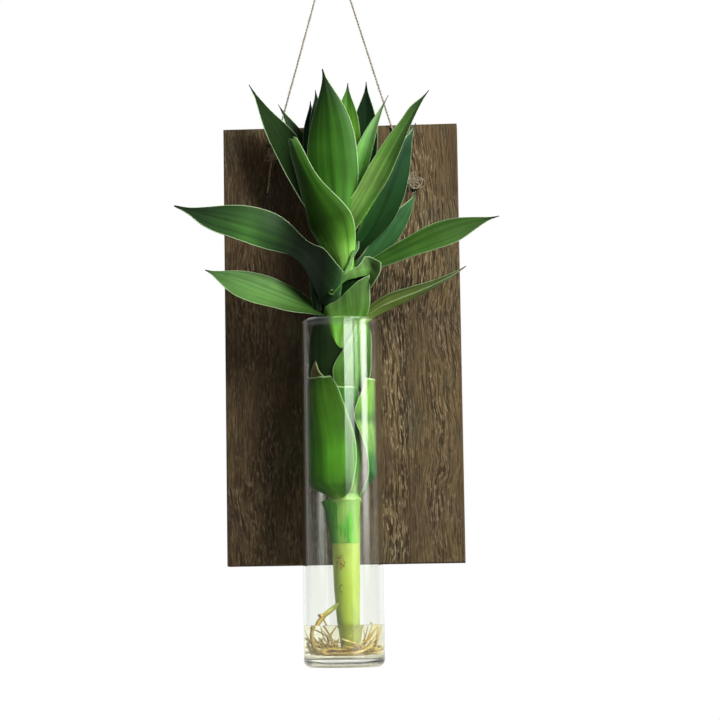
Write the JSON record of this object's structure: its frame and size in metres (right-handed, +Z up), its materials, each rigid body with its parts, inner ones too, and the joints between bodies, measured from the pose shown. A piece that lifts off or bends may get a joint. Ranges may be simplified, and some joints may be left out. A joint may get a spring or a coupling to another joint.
{
  "type": "wall-hung hydroponic vase holder",
  "caption": "Wooden board on a twine loop with a clear glass tube hung on a peg in front of it, holding a leafy cane that roots in water.",
  "frame": {"origin": "centre of the board's back face, which lies on the wall", "axes": "+Z up the board, +Y into the wall, so the front faces -Y, and +X to the right as seen from the front"},
  "size_m": [0.2023, 0.067, 0.4577],
  "materials": {
    "board_wood": "dark weathered plank with open grain",
    "jute_twine": "fuzzy two-ply twine",
    "peg_steel": "plain",
    "clear_glass": "clear, polished",
    "green_cane": "smooth living stem",
    "root_fibre": "wet, rough",
    "leaf_green": "waxy, semi-gloss",
    "leaf_dark": "waxy, semi-gloss",
    "leaf_bright": "waxy, semi-gloss"
  },
  "bodies": {
    "board": {"board": "board_wood", "vase_peg": "peg_steel", "hanging_twine": "jute_twine", "twine_back_run": "jute_twine", "twine_join_knot": "jute_twine", "twine_stop_knot": "jute_twine"},
    "vase": {"glass_vase": "clear_glass"},
    "plant": {"cane": "green_cane", "roots": "root_fibre", "leaf_front_left": "leaf_green", "leaf_front_right": "leaf_bright", "leaf_centre": "leaf_green", "leaf_right_dark": "leaf_dark", "leaf_right_pale": "leaf_bright", "leaf_back_bright": "leaf_bright", "leaf_back_left_tall": "leaf_dark", "leaf_back_left_short": "leaf_dark", "leaf_back_dark": "leaf_dark", "leaf_left_dark": "leaf_dark", "leaf_left_thin": "leaf_dark", "leaf_right_back": "leaf_dark", "leaf_left_long": "leaf_green", "leaf_right_long": "leaf_green", "leaf_left_low": "leaf_green", "leaf_right_low": "leaf_green", "leaf_front_stub": "leaf_bright", "leaf_front_curl": "leaf_bright", "inner_leaf_left": "leaf_green", "inner_leaf_right": "leaf_green", "inner_leaf_middle": "leaf_bright"}
  },
  "joints": [
    {"name": "vase_unhook", "type": "slide", "parent": "board", "child": "vase", "axis": [0, -0.9659, 0.2588], "range_m": [0, 0.12]},
    {"name": "plant_lift", "type": "slide", "parent": "vase", "child": "plant", "axis": [0, 0, 1], "range_m": [0, 0.22]}
  ]
}
